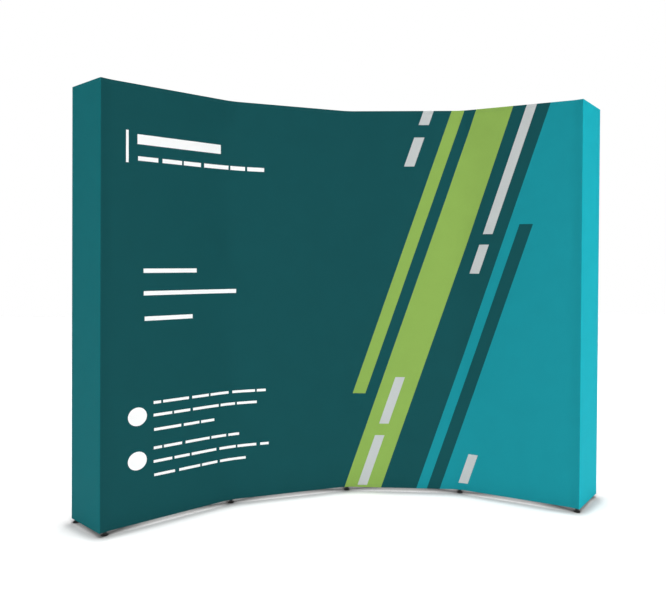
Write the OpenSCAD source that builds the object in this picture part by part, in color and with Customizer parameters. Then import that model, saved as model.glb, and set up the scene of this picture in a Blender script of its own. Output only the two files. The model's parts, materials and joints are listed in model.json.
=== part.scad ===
// Curved pop-up display backwall.
//
// Two grids of hubs, a front one and a rear one, are joined by crossed rods of one
// length. Each pair of rods turns on a rivet like a pair of scissors. The level pairs
// are riveted a little nearer their front ends, so every bay opens as a wedge and the
// wall curves. The upright pairs are riveted in the middle and carry the height. Hooked
// arms between the front and rear hubs hold the lattice open. A fabric lies on the front
// hubs, inside the curve, and a flap of it closes each end.
//
// Millimetres, +Z up, the front faces -Y. The origin is on the floor, below the middle
// of the whole object. Hubs, pins and locks are drawn in a column's own frame: X along
// the wall, Y from the front hub to the rear hub, Z up.

/* [Lattice] */
// Bays from side to side
bays = 4; // [2:2:4]
// Storeys from floor to top
storeys = 3; // [2:1:3]
// Distance between the end pins of every rod
rod_length = 734; // [650:1:800]
// Distance of a level rod's rivet in front of its middle
pivot_shift = 26.5; // [15:0.5:35]
// Half the angle between two crossed level rods of the open wall
open_angle = 69.2; // [66:0.1:70]

/* [Rods] */
// Outer diameter of the rod tubes
tube_d = 12.7; // [11:0.1:13]
// Wall thickness of the tubes
tube_wall = 1.2; // [0.8:0.1:2]
// Gap between two tubes where they cross
cross_gap = 2.3; // [1.5:0.1:2.5]
// Distance from an end pin to the cut end of the tube
tube_setback = 24; // [22:1:30]
// Thickness of the flat tongue at each rod end
tongue_t = 7; // [5:0.1:7]
// Shank diameter of rivets and pins
pin_d = 4; // [3:0.1:4.5]

/* [Hubs] */
// Distance from a hub's centre to each of its four pins
hub_arm = 18; // [17:0.5:20]
// Diameter of the hub's round face
face_d = 50; // [46:1:50]
// Distance from the plane of the pins out to the face
face_depth = 17; // [15:0.5:20]
// Thickness of the face plate
face_t = 4; // [3.5:0.1:5]
// Thickness of one clevis ear
ear_t = 3.2; // [2.5:0.1:3.2]
// Radius of the rounded end of an ear
ear_r = 7; // [6.5:0.1:7]

/* [Locks] */
// Distance from a hub's pin plane to the pivot of its lock half
lock_pivot = 16; // [15:0.5:20]
// Width of the lock arms
lock_w = 11; // [10:0.5:12]
// Height of the lock arms
lock_h = 9; // [8:0.5:10]

/* [Feet] */
// Diameter of a foot's pad
foot_d = 32; // [26:1:34]
// Height of the rim of a foot's pad
foot_rim = 4; // [3:0.5:4]
// Height of the shoulder between the pad's rim and its nut
foot_shoulder = 2; // [1.5:0.5:2.5]
// Height of the hexagonal nut on a foot
foot_nut = 4; // [3:0.5:4]
// Thread diameter of a levelling foot
stud_d = 8; // [6:0.5:9]

/* [Fabric] */
// Height of the fabric
fabric_h = 2226; // [2220:1:2300]
// Height of the fabric's lower edge above the floor
floor_gap = 22; // [20:1:30]
// Thickness of the fabric
fabric_t = 0.8; // [0.5:0.1:1.2]
// Thickness of a hook-tape pad
pad_t = 1.8; // [1.4:0.1:2.2]
// Diameter of the round pads on the hub faces
pad_d = 40; // [30:1:42]

/* [Hidden] */
$fn = 48;

// Half rods and the shape of one open bay, from the law of a curved scissor
front_half = rod_length / 2 - pivot_shift;
rear_half = rod_length / 2 + pivot_shift;
front_pins = 2 * front_half * sin(open_angle);
rear_pins = 2 * rear_half * sin(open_angle);
bay_angle = 2 * atan((rear_half - front_half) / rod_length * tan(open_angle));
depth = norm([(rear_pins - front_pins) / 2, rod_length * cos(open_angle)]);
storey = 2 * hub_arm + sqrt(front_pins * rear_pins);
rod_tilt = asin(depth / rod_length);

// Radii of the two hub grids and of the level rivets about the centre of the curve
front_r = (front_pins / 2 + hub_arm * cos(bay_angle / 2)) / sin(bay_angle / 2);
rear_r = front_r + depth;
rivet_r = front_r * cos(bay_angle / 2) + front_half * cos(open_angle)
    + hub_arm * sin(bay_angle / 2);

// Each rod lies this far to one side of the plane that it shares with its partner
rod_offset = (tube_d + cross_gap) / 2;

// Play between pieces: pins in holes, tongues between ears, lock halves, the lock's tooth
// in its window, pads in their recesses, the fabric before the pads
fit_play = 0.1;
ear_play = 0.5;
lock_play = 0.3;
tooth_play = 0.4;
recess_play = 0.3;
fabric_play = 0.2;
ear_gap = tongue_t + ear_play;
hole_d = pin_d + fit_play;

// How far a cut runs past the face it opens, or a piece runs into its neighbour
past = 1;

// Hub moulding
face_chamfer = 1.5;
pad_recess = 0.8;
boss_d = 12;
boss_end = 10;
web_stop = 4;
rib_t = 2.4;
rib_h = 5;
rib_turn = 72;
rib_inset = 2;
lock_tongue_t = 5;
lock_tongue_r = 5;

// Rod ends, rivets, washers and pins
tongue_r = 6;
taper_l = 7;
collar_l = 4;
spigot_l = 20;
washer_d = 10;
head_d = 8;
head_h = 1.6;
pin_head_d = 6.4;
pin_head_h = 1;
pin_tail = 0.5;

// The two lock halves meet half-way between the hubs
mid = depth / 2;
lap_start = mid - 10;
lap_end = mid + 14;
lap_gap = 2;
catch_wall = 5;
fork_clear = 1;
fork_reach = 3;
tooth_l = 8;
tooth_w = 6;
tooth_short = 1;
ridge_r = 2.5;
ridge_inset = 4;
groove = 2.5;
groove_start = 12;
groove_end = 6;

// The lowest hubs, the sockets that hang from them and the feet
low_margin = (fabric_h - storeys * storey) / 2;
hub_z0 = floor_gap + low_margin;
foot_top = foot_rim + foot_shoulder + foot_nut;
socket_z = foot_top + lock_play;
socket_top = hub_z0 - hub_arm - ear_r - 1;
socket_d = 18;
socket_chamfer = 2;
bore_top = socket_top - 2;
stud_top = bore_top - 2;
shoulder_top_d = 19;
nut_corners = 17.6;

// Fabric faces, measured from the pin plane of the hubs
fabric_y = face_depth - pad_recess + pad_t + fabric_play;
fabric_out = fabric_y + fabric_t;
fabric_flat = face_d / 2 - 1;
side_pad_t = 1.2;
side_pad_rim = 2;
side_pad_back = 5;
flap_play = 0.3;
corner_gap = 0.8;
flap_x = hub_arm + ear_r + side_pad_t + flap_play;
flap_out = flap_x + fabric_t;
panel_end = flap_x - corner_gap;
flap_back = depth + face_depth - face_t - 1;

// Centre of the curve, so that the origin is below the middle of the object
end_angle = bays / 2 * bay_angle;
front_edge = (front_r - fabric_out) * cos(end_angle) - flap_out * sin(end_angle);
centre_y = -(front_edge + rear_r + face_depth) / 2;

columns = [0 : bays];
rows = [0 : storeys];
lock_rows = [1 : storeys - 1];
bay_list = [0 : bays - 1];
storey_list = [0 : storeys - 1];
sides = ["front", "rear"];
leans = ["left", "right"];
slopes = ["down", "up"];

function hubs_name(side, c) = str(side, "_hubs_column", c + 1);
function bay_rods_name(b, lean) = str("bay", b + 1, "_rods_", lean);
function column_rods_name(c, slope) = str("column", c + 1, "_rods_", slope);
function lock_name(c, r) = str("lock_arm_column", c + 1, "_row", r + 1);
function foot_name(side, c) = str(side, "_foot_column", c + 1);

// ---------------------------------------------------------------- places

// Angle of a column, or of the middle of a bay, about the centre of the curve
function column_angle(c) = (c - bays / 2) * bay_angle;
function row_z(r) = hub_z0 + r * storey;

// A column's own frame, at the plane of its front pins
module at_column(c) {
    translate([0, centre_y, 0])
        rotate([0, 0, -column_angle(c)])
            translate([0, front_r, 0])
                children();
}

// A hub's own frame: Y points into the lattice, so a rear hub is turned round
module at_hub(side, c, r) {
    at_column(c)
        translate([0, side == "front" ? 0 : depth, row_z(r)])
            rotate([0, 0, side == "front" ? 0 : 180])
                children();
}

// One of a hub's four arms: 0 right, 1 up, 2 left, 3 down, seen from outside the wall
module at_arm(quarter) {
    rotate([0, -90 * quarter, 0])
        translate([hub_arm, 0, rod_offset])
            children();
}

// The arms of a hub that hold a rod, or a foot socket below the lowest row
function arms_in_use(side, c, r) = [
    if (side == "front" ? c < bays : c > 0) 0,
    if (r < storeys) 1,
    if (side == "front" ? c > 0 : c < bays) 2,
    3,
];

// A level rod's frame: X from its front pin to its rear pin, Z along the pins.
// "right" rods run back to the right and lie above their partners.
module on_bay_rod(b, r, lean) {
    turn = lean == "right" ? 1 : -1;
    translate([0, centre_y, row_z(r)])
        rotate([0, 0, -column_angle(b + 0.5)])
            translate([0, rivet_r, turn * rod_offset])
                rotate([0, 0, 90 - turn * open_angle])
                    translate([-front_half, 0, 0])
                        children();
}

// An upright rod's frame: X from its front pin to its rear pin, Z along the pins.
// "up" rods rise towards the rear and lie to the left of their partners.
module on_column_rod(c, s, slope) {
    turn = slope == "up" ? 1 : -1;
    at_column(c)
        translate([-turn * rod_offset, depth / 2, row_z(s + 0.5)])
            rotate([turn * (90 - rod_tilt), 0, 0])
                rotate([0, 90, 0])
                    rotate([0, 0, 90])
                        translate([-rod_length / 2, 0, 0])
                            children();
}

// The rivet of every crossing, with Z along its shank
module at_rivets() {
    for (b = bay_list, r = rows)
        translate([0, centre_y, row_z(r)])
            rotate([0, 0, -column_angle(b + 0.5)])
                translate([0, rivet_r, 0])
                    children();
    for (c = columns, s = storey_list)
        at_column(c)
            translate([0, depth / 2, row_z(s + 0.5)])
                rotate([0, 90, 0])
                    children();
}

// ---------------------------------------------------------------- hubs

// One ear, its pin hole at the origin and its foot in the face plate
module ear() {
    reach = face_depth - face_t / 2;
    cylinder(r = ear_r, h = ear_t, center = true);
    translate([-ear_r, -reach, -ear_t / 2])
        cube([2 * ear_r, reach, ear_t]);
}

// The web that joins the boss to the inner ear of an arm
module web() {
    translate([-hub_arm, face_t / 2 - face_depth, -ear_t / 2])
        cube([hub_arm, face_depth - face_t / 2 - web_stop, ear_t]);
}

// The rib that stiffens the face in the open corner between two arms
module rib(quarter) {
    rotate([0, -90 * quarter - rib_turn, 0])
        translate([0, face_t / 2 - face_depth, -rib_t / 2])
            cube([face_d / 2 - rib_inset, face_t / 2 + rib_h, rib_t]);
}

// A nylon hub: a chamfered face with ribs behind it, four clevises set like a pinwheel so
// that crossing rods pass each other, and a central boss with a flat tongue for the lock
module hub() {
    ear_z = (ear_gap + ear_t) / 2;
    color([0.07, 0.07, 0.08])
    difference() {
        union() {
            rotate([-90, 0, 0])
                translate([0, 0, -face_depth]) {
                    cylinder(d1 = face_d - 2 * face_chamfer, d2 = face_d, h = face_t / 2);
                    translate([0, 0, face_t / 2])
                        cylinder(d = face_d, h = face_t / 2);
                    translate([0, 0, face_t / 2])
                        cylinder(d = boss_d, h = face_depth + boss_end - face_t / 2);
                }
            for (quarter = [0 : 3]) {
                rib(quarter);
                at_arm(quarter) {
                    translate([0, 0, ear_z]) ear();
                    translate([0, 0, -ear_z]) {
                        ear();
                        web();
                    }
                }
            }
            translate([-lock_tongue_t / 2, 0, -lock_tongue_r])
                cube([lock_tongue_t, lock_pivot, 2 * lock_tongue_r]);
            translate([0, lock_pivot, 0])
                rotate([0, 90, 0])
                    cylinder(r = lock_tongue_r, h = lock_tongue_t, center = true);
        }
        for (quarter = [0 : 3])
            at_arm(quarter)
                cylinder(d = hole_d, h = ear_gap + 3 * ear_t, center = true);
        translate([0, lock_pivot, 0])
            rotate([0, 90, 0])
                cylinder(d = hole_d, h = 2 * lock_tongue_t, center = true);
        rotate([-90, 0, 0])
            translate([0, 0, -face_depth - past])
                cylinder(d = pad_d + 2 * recess_play, h = past + pad_recess);
    }
}

module hub_column(side, c) {
    for (r = rows)
        at_hub(side, c, r) hub();
}

// A pin through the two ears of an arm, with a head on its outer side
module hub_pin() {
    shank = ear_gap + 2 * ear_t + 2 * pin_tail;
    cylinder(d = pin_d, h = shank, center = true);
    translate([0, 0, (ear_gap + 2 * ear_t) / 2])
        cylinder(d = pin_head_d, h = pin_head_h);
}

module hub_pins() {
    color([0.75, 0.76, 0.78])
        for (side = sides, c = columns, r = rows)
            for (quarter = arms_in_use(side, c, r))
                at_hub(side, c, r)
                    at_arm(quarter) hub_pin();
}

// ---------------------------------------------------------------- rods

// An aluminium tube with one rivet hole through both walls
module tube(rivet_at) {
    color([0.78, 0.79, 0.80])
    difference() {
        translate([tube_setback, 0, 0])
            rotate([0, 90, 0])
                difference() {
                    cylinder(d = tube_d, h = rod_length - 2 * tube_setback);
                    translate([0, 0, -past])
                        cylinder(d = tube_d - 2 * tube_wall,
                                 h = rod_length - 2 * tube_setback + 2 * past);
                }
        translate([rivet_at, 0, 0])
            cylinder(d = hole_d, h = 2 * tube_d, center = true);
    }
}

// A nylon end fitting: flat tongue, a taper that swells to the collar, and the spigot
// that plugs the tube
module rod_end() {
    spigot_d = tube_d - 2 * tube_wall - fit_play;
    collar_at = tube_setback - collar_l;
    color([0.09, 0.09, 0.10])
    difference() {
        union() {
            cylinder(r = tongue_r, h = tongue_t, center = true);
            translate([0, -tongue_r, -tongue_t / 2])
                cube([collar_at, 2 * tongue_r, tongue_t]);
            translate([collar_at - taper_l, 0, 0])
                rotate([0, 90, 0])
                    cylinder(d1 = tongue_t, d2 = 2 * tongue_r, h = taper_l);
            translate([collar_at, 0, 0])
                rotate([0, 90, 0]) {
                    cylinder(d = tube_d, h = collar_l);
                    cylinder(d = spigot_d, h = collar_l + spigot_l);
                }
        }
        cylinder(d = hole_d, h = 2 * tongue_t, center = true);
    }
}

module bay_rods(b, lean) {
    for (r = rows)
        on_bay_rod(b, r, lean) tube(front_half);
}

module column_rods(c, slope) {
    for (s = storey_list)
        on_column_rod(c, s, slope) tube(rod_length / 2);
}

// The end fittings of every rod, at its front pin or at its rear pin
module rod_ends(side) {
    for (b = bay_list, r = rows, lean = leans)
        on_bay_rod(b, r, lean) place_end(side) rod_end();
    for (c = columns, s = storey_list, slope = slopes)
        on_column_rod(c, s, slope) place_end(side) rod_end();
}

module place_end(side) {
    translate([side == "front" ? 0 : rod_length, 0, 0])
        rotate([0, 0, side == "front" ? 0 : 180])
            children();
}

// A rivet through a crossing pair of tubes, with a coned head at each end
module rivet() {
    half = rod_offset + tube_d / 2 + fit_play;
    cylinder(d = pin_d, h = 2 * half, center = true);
    for (flip = [0, 180])
        rotate([flip, 0, 0])
            translate([0, 0, half])
                cylinder(d1 = head_d, d2 = head_d / 2, h = head_h);
}

module scissor_rivets() {
    color([0.72, 0.73, 0.75])
        at_rivets() rivet();
}

// The nylon washer that keeps two crossing tubes apart
module washer() {
    difference() {
        cylinder(d = washer_d, h = cross_gap - fit_play, center = true);
        cylinder(d = hole_d, h = 2 * cross_gap, center = true);
    }
}

module rivet_washers() {
    color([0.12, 0.12, 0.13])
        at_rivets() washer();
}

// ---------------------------------------------------------------- locks

// A beam of the lock with grooved flanks, along Y
module lock_beam(from, to) {
    difference() {
        translate([-lock_w / 2, from, -lock_h / 2])
            cube([lock_w, to - from, lock_h]);
        for (side = [-1, 1])
            translate([side * lock_w / 2 - groove, from + groove_start, -lock_h / 4])
                cube([2 * groove, to - from - groove_start - groove_end, lock_h / 2]);
    }
}

// The fork that takes a hub's flat tongue, its pin hole at the origin
module lock_fork() {
    cheek = (lock_w - lock_tongue_t) / 2 - lock_play;
    for (side = [-1, 1])
        translate([side * (lock_w - cheek) / 2, 0, 0]) {
            rotate([0, 90, 0])
                cylinder(d = lock_h, h = cheek, center = true);
            translate([-cheek / 2, 0, -lock_h / 2])
                cube([cheek, lock_tongue_r + fork_reach, lock_h]);
        }
}

// The moving half: it hinges on the front hub, and its tooth drops into the catch
module lock_arm() {
    color([0.11, 0.11, 0.12])
    difference() {
        union() {
            translate([0, lock_pivot, 0]) lock_fork();
            lock_beam(lock_pivot + lock_tongue_r + fork_clear, lap_start);
            translate([-lock_w / 2, lap_start - past, lock_play / 2])
                cube([lock_w, lap_end - lap_start + past, (lock_h - lock_play) / 2]);
            translate([-tooth_w / 2, lap_end - tooth_l, tooth_short - lock_h / 2])
                cube([tooth_w, tooth_l, lock_h - tooth_short]);
            translate([0, lap_end - ridge_inset, lock_h / 2])
                rotate([0, 90, 0])
                    cylinder(r = ridge_r, h = lock_w, center = true);
        }
        translate([0, lock_pivot, 0])
            rotate([0, 90, 0])
                cylinder(d = hole_d, h = 2 * lock_w, center = true);
    }
}

// The fixed half on the rear hub, with a window for the tooth
module lock_catch() {
    ledge = lap_start + lap_gap;
    wall = lap_end + catch_wall;
    difference() {
        union() {
            translate([0, depth - lock_pivot, 0])
                rotate([0, 0, 180]) lock_fork();
            lock_beam(wall, depth - lock_pivot - lock_tongue_r - fork_clear);
            translate([-lock_w / 2, ledge, -lock_h / 2])
                cube([lock_w, wall - ledge + past, (lock_h - lock_play) / 2]);
        }
        translate([-tooth_w / 2 - tooth_play, lap_end - tooth_l - tooth_play, -lock_h])
            cube([tooth_w + 2 * tooth_play, tooth_l + 2 * tooth_play, 2 * lock_h]);
        translate([0, depth - lock_pivot, 0])
            rotate([0, 90, 0])
                cylinder(d = hole_d, h = 2 * lock_w, center = true);
    }
}

module at_locks() {
    for (c = columns, r = lock_rows)
        at_column(c)
            translate([0, 0, row_z(r)])
                children();
}

module lock_catches() {
    color([0.13, 0.13, 0.14])
        at_locks() lock_catch();
}

module lock_pins() {
    color([0.75, 0.76, 0.78])
        at_locks()
            for (y = [lock_pivot, depth - lock_pivot])
                translate([0, y, 0])
                    rotate([0, 90, 0])
                        cylinder(d = pin_d, h = lock_w + 2 * pin_tail, center = true);
}

// ---------------------------------------------------------------- feet

// A foot's frame on the floor, below the lower arm of a hub in the lowest row
module at_foot(side, c) {
    at_column(c)
        translate([0, side == "front" ? 0 : depth, 0])
            rotate([0, 0, side == "front" ? 0 : 180])
                translate([rod_offset, 0, 0])
                    children();
}

// A socket that is pinned in the lower arm and holds the foot's thread
module foot_socket() {
    pin_z = hub_z0 - hub_arm;
    difference() {
        union() {
            translate([0, 0, pin_z])
                rotate([0, 90, 0])
                    cylinder(r = tongue_r, h = tongue_t, center = true);
            translate([-tongue_t / 2, -tongue_r, socket_top - past])
                cube([tongue_t, 2 * tongue_r, pin_z - socket_top + past]);
            translate([0, 0, socket_z])
                cylinder(d = socket_d, h = socket_top - socket_z - socket_chamfer);
            translate([0, 0, socket_top - socket_chamfer])
                cylinder(d1 = socket_d, d2 = socket_d - 2 * socket_chamfer, h = socket_chamfer);
        }
        translate([0, 0, pin_z])
            rotate([0, 90, 0])
                cylinder(d = hole_d, h = 2 * tongue_t, center = true);
        translate([0, 0, socket_z - past])
            cylinder(d = stud_d + fit_play, h = bore_top - socket_z + past);
    }
}

module foot_sockets() {
    color([0.10, 0.10, 0.11])
        for (side = sides, c = columns)
            at_foot(side, c) foot_socket();
}

// A levelling foot: pad, shoulder, nut and threaded stud in one moulding
module levelling_foot() {
    color([0.05, 0.05, 0.05]) {
        cylinder(d = foot_d, h = foot_rim);
        translate([0, 0, foot_rim])
            cylinder(d1 = foot_d, d2 = shoulder_top_d, h = foot_shoulder);
        translate([0, 0, foot_rim + foot_shoulder])
            cylinder(d = nut_corners, h = foot_nut, $fn = 6);
        translate([0, 0, foot_rim])
            cylinder(d = stud_d, h = stud_top - foot_rim);
    }
}

// ---------------------------------------------------------------- fabric

// Hook-tape pads: round ones on the front hubs, oblong ones under the end flaps
module hook_pads() {
    color([0.82, 0.82, 0.80]) {
        for (c = columns, r = rows)
            at_hub("front", c, r)
                rotate([-90, 0, 0])
                    translate([0, 0, pad_recess - face_depth - pad_t])
                        cylinder(d = pad_d, h = pad_t);
        for (side = sides, r = rows) {
            at_hub(side, 0, r)
                at_arm(side == "front" ? 2 : 0) side_pad();
            at_hub(side, bays, r)
                at_arm(side == "front" ? 0 : 2) side_pad();
        }
    }
}

// A pad across the flat ends of two ears
module side_pad() {
    half_z = ear_gap / 2 + ear_t + side_pad_rim;
    translate([ear_r, -ear_r - side_pad_back, -half_z])
        cube([side_pad_t, ear_r + side_pad_back, 2 * half_z]);
}

// A point of a column's frame, seen from above
function plan_point(c, x, y) =
    let (a = column_angle(c), r = front_r + y)
    [x * cos(a) + r * sin(a), centre_y + r * cos(a) - x * sin(a)];

// The fabric's path along the front hubs, flat on each face and straight between them
function panel_path(y) = [
    for (c = columns, side = [-1, 1])
        let (at_end = (c == 0 && side < 0) || (c == bays && side > 0))
        plan_point(c, side * (at_end ? panel_end : fabric_flat), -y)
];

module front_panel() {
    outer = panel_path(fabric_out);
    inner = panel_path(fabric_y);
    color([0.10, 0.45, 0.48])
        translate([0, 0, floor_gap])
            linear_extrude(height = fabric_h)
                polygon(concat(outer, [for (i = [len(inner) - 1 : -1 : 0]) inner[i]]));
}

// The flap that closes an end of the wall, from the front corner to the rear hubs
module end_flap(c) {
    x = c == 0 ? -flap_out : flap_x;
    color([0.12, 0.55, 0.58])
        at_column(c)
            translate([x, -fabric_out, floor_gap])
                cube([fabric_t, flap_back + fabric_out, fabric_h]);
}

module left_flap() {
    end_flap(0);
}

module right_flap() {
    end_flap(bays);
}

// ---------------------------------------------------------------- nodes

for (side = sides, c = columns)
    hub_column(side, c);
for (b = bay_list, lean = leans)
    bay_rods(b, lean);
for (c = columns, slope = slopes)
    column_rods(c, slope);
rod_ends("front");  // front_rod_ends
rod_ends("rear");  // rear_rod_ends
scissor_rivets();
rivet_washers();
hub_pins();
for (c = columns, r = lock_rows)
    at_column(c) translate([0, 0, row_z(r)]) lock_arm();
lock_catches();
lock_pins();
foot_sockets();
for (side = sides, c = columns)
    at_foot(side, c) levelling_foot();
hook_pads();
front_panel();
left_flap();
right_flap();
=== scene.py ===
# %% [markdown]
# # A curved pop-up display wall
# The wall is a folding frame of light rods that carries one sheet of printed stretch fabric.
# The rods, hubs, locks and feet are hard parts, and they come ready made from the frame file.
# The cloth is what this lesson makes: a curved panel in four facets, an end flap on each side,
# their hems and stitches, and the soft tape by which it clings to the hubs. Then every part gets
# a finish.

# %% Load the hard parts
import json

import bpy
import numpy as np
from mathutils import Matrix, Vector

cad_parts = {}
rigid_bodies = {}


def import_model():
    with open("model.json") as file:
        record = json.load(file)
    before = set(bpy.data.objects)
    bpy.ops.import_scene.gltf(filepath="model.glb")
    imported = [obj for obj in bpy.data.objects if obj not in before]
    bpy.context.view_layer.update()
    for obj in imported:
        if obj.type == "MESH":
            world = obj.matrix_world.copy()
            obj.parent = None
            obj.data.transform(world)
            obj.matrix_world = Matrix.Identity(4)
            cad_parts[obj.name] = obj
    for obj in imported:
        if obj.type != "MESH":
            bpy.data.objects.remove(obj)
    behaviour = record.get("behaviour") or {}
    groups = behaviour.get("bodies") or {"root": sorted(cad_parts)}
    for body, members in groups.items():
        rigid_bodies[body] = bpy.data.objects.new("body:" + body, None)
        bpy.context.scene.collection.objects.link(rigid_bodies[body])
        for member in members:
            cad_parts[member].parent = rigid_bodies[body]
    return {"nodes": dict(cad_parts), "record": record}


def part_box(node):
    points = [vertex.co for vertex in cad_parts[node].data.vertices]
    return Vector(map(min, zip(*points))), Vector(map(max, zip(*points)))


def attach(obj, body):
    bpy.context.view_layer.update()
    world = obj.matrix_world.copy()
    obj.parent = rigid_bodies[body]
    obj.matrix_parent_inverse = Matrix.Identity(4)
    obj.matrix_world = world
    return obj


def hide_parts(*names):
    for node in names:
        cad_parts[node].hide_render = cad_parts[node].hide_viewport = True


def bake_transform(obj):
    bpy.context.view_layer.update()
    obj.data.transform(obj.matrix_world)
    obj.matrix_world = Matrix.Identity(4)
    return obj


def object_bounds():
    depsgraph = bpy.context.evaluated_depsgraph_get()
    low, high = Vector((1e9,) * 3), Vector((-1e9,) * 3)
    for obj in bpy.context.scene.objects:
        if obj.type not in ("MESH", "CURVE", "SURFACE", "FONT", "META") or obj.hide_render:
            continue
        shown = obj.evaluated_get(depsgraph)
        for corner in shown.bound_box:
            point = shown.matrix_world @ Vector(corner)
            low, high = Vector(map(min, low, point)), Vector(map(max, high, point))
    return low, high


for stray in list(bpy.data.objects):
    bpy.data.objects.remove(stray)
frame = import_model()
cad_low, cad_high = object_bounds()
print("size in metres:", [round(high - low, 3) for low, high in zip(cad_low, cad_high)])

# %% [markdown]
# ## The photographer's camera
# A camera is five facts: where it stands, the three angles it is turned by, and its focal length.
# They could be guessed by eye, but a wall with straight edges lets them be measured. Here the
# corners of the cloth were matched to the photograph, and the picture turned out to be cropped
# from a larger one, so the optical centre lies off the middle. A lens shift puts that right.

# %% Place the camera
PHOTO_WIDTH = 666  # pixels
FOCAL_LENGTH = 632.7  # pixels
CENTRE_RIGHT = 60  # pixels from the picture's middle to the optical centre
CENTRE_UP = 37
SENSOR_WIDTH = 36  # millimetres
CAMERA_PLACE = (-0.259, -3.645, 1.368)
YAW, PITCH, ROLL = np.radians([-8.10, -0.59, 0.40])

camera = bpy.data.objects.new("camera", bpy.data.cameras.new("camera"))
bpy.context.scene.collection.objects.link(camera)
bpy.context.scene.camera = camera
upright = Matrix.Rotation(np.pi / 2 + PITCH, 4, "X")
camera.matrix_world = (
    Matrix.Translation(CAMERA_PLACE) @ Matrix.Rotation(YAW, 4, "Z") @ upright @ Matrix.Rotation(ROLL, 4, "Z")
)
camera.data.sensor_width = SENSOR_WIDTH
camera.data.lens = FOCAL_LENGTH / PHOTO_WIDTH * SENSOR_WIDTH
camera.data.shift_x = -CENTRE_RIGHT / PHOTO_WIDTH
camera.data.shift_y = -CENTRE_UP / PHOTO_WIDTH
print("lens:", round(camera.data.lens, 1), "mm")

# %% [markdown]
# ## Small helpers for materials
# A material is a tree of nodes, and wiring one by hand takes four lines a node. One helper adds
# a node and fills its sockets: a plain value is typed in, and another node's output is linked.
# Arithmetic and mixing are needed most, so they get a helper each. Colours are read off a picture
# as three bytes, while shaders count light, so one more undoes the curve that screens apply.


# %% Node and colour helpers
def add_node(tree, kind, sockets=(), **settings):
    """Adds a node. sockets is {input: value or another node's output}, and settings are its own options."""
    made = tree.nodes.new("ShaderNode" + kind)
    for option, choice in settings.items():
        setattr(made, option, choice)
    for socket, value in dict(sockets).items():
        if isinstance(value, bpy.types.NodeSocket):
            tree.links.new(value, made.inputs[socket])
        else:
            made.inputs[socket].default_value = value
    return made


def maths(tree, operation, *terms):
    """One Math node on the terms; returns its output."""
    return add_node(tree, "Math", dict(enumerate(terms)), operation=operation).outputs[0]


def paint(red, green, blue):
    """Screen bytes to light: a byte's share c is c / 12.92 near black, else ((c + 0.055) / 1.055) ** 2.4."""
    share = np.array([red, green, blue]) / 255
    light = np.where(share <= 0.04045, share / 12.92, ((share + 0.055) / 1.055) ** 2.4)
    return (*light, 1.0)


def new_finish(name, colour, roughness, metallic=0.0, specular=0.5):
    """A material of one colour, whose shader is returned with it for more wiring."""
    material = bpy.data.materials.new(name)
    material.use_nodes = True
    tree = material.node_tree
    shader = tree.nodes["Principled BSDF"]
    shader.inputs["Base Color"].default_value = colour
    shader.inputs["Roughness"].default_value = roughness
    shader.inputs["Metallic"].default_value = metallic
    shader.inputs["Specular IOR Level"].default_value = specular
    return material, tree, shader


def lay(tree, under, over, mask):
    """Colour over where the mask is 1, colour under elsewhere."""
    return add_node(tree, "Mix", {"Factor": mask, "A": under, "B": over}, data_type="RGBA").outputs["Result"]


# %% [markdown]
# ## A white studio
# The picture shows the wall on pure white, with a soft grey line of shadow round its foot. More
# light would bleach the cloth, so the floor and the air are made white to the camera alone: a
# Light Path node tells which rays come from it. The line of shadow is partly a real one: the cloth
# hides a lamp almost straight overhead from the floor close to its foot, and the lamp is only a few
# degrees wide, so the shadow is gone within a hand's width. One lamp can't show how dark it is
# inside the wall, though. Two occlusion nodes, which measure how far things close in on a spot,
# add that as painted shade, darkening the floor's paint and its glow: one searches backwards a
# short way, for the strip before the cloth, and one forwards a longer way, for the floor behind it
# that shows under its lower edge.

# %% Floor and air
FLOOR_SIZE = 24.0
FLOOR_GLOW = 0.06  # the floor's own light, for the camera alone
AIR_LIGHT = 0.14  # even light from all sides
SHADE_BEFORE = (0.060, np.radians(40), 0.6)  # reach in metres, lean of the search towards +Y, power
SHADE_BEHIND = (0.250, np.radians(-50), 2.4)
SHADE_RAYS = 16
FLOOR_PAINT = paint(245, 245, 245)
BLACK, WHITE = (0.0, 0.0, 0.0, 1.0), (1.0, 1.0, 1.0, 1.0)


def seen_directly(tree):
    """1 for rays from the camera, from gloss or through glass, 0 for the light that falls on things."""
    path = add_node(tree, "LightPath")
    direct = maths(tree, "MAXIMUM", path.outputs["Is Camera Ray"], path.outputs["Is Glossy Ray"])
    return maths(tree, "MAXIMUM", direct, path.outputs["Is Transmission Ray"])


def open_towards(tree, reach, lean, power):
    """How open the floor is: 1 far from everything, less where something stands within reach. The half
    dome that is searched leans by that angle towards +Y, and a power above 1 deepens what it finds."""
    way = add_node(tree, "CombineXYZ", {"X": 0.0, "Y": np.sin(lean), "Z": np.cos(lean)})
    searched = {"Distance": reach, "Normal": way.outputs["Vector"]}
    found = add_node(tree, "AmbientOcclusion", searched, samples=SHADE_RAYS).outputs["AO"]
    return maths(tree, "POWER", found, power)


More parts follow.
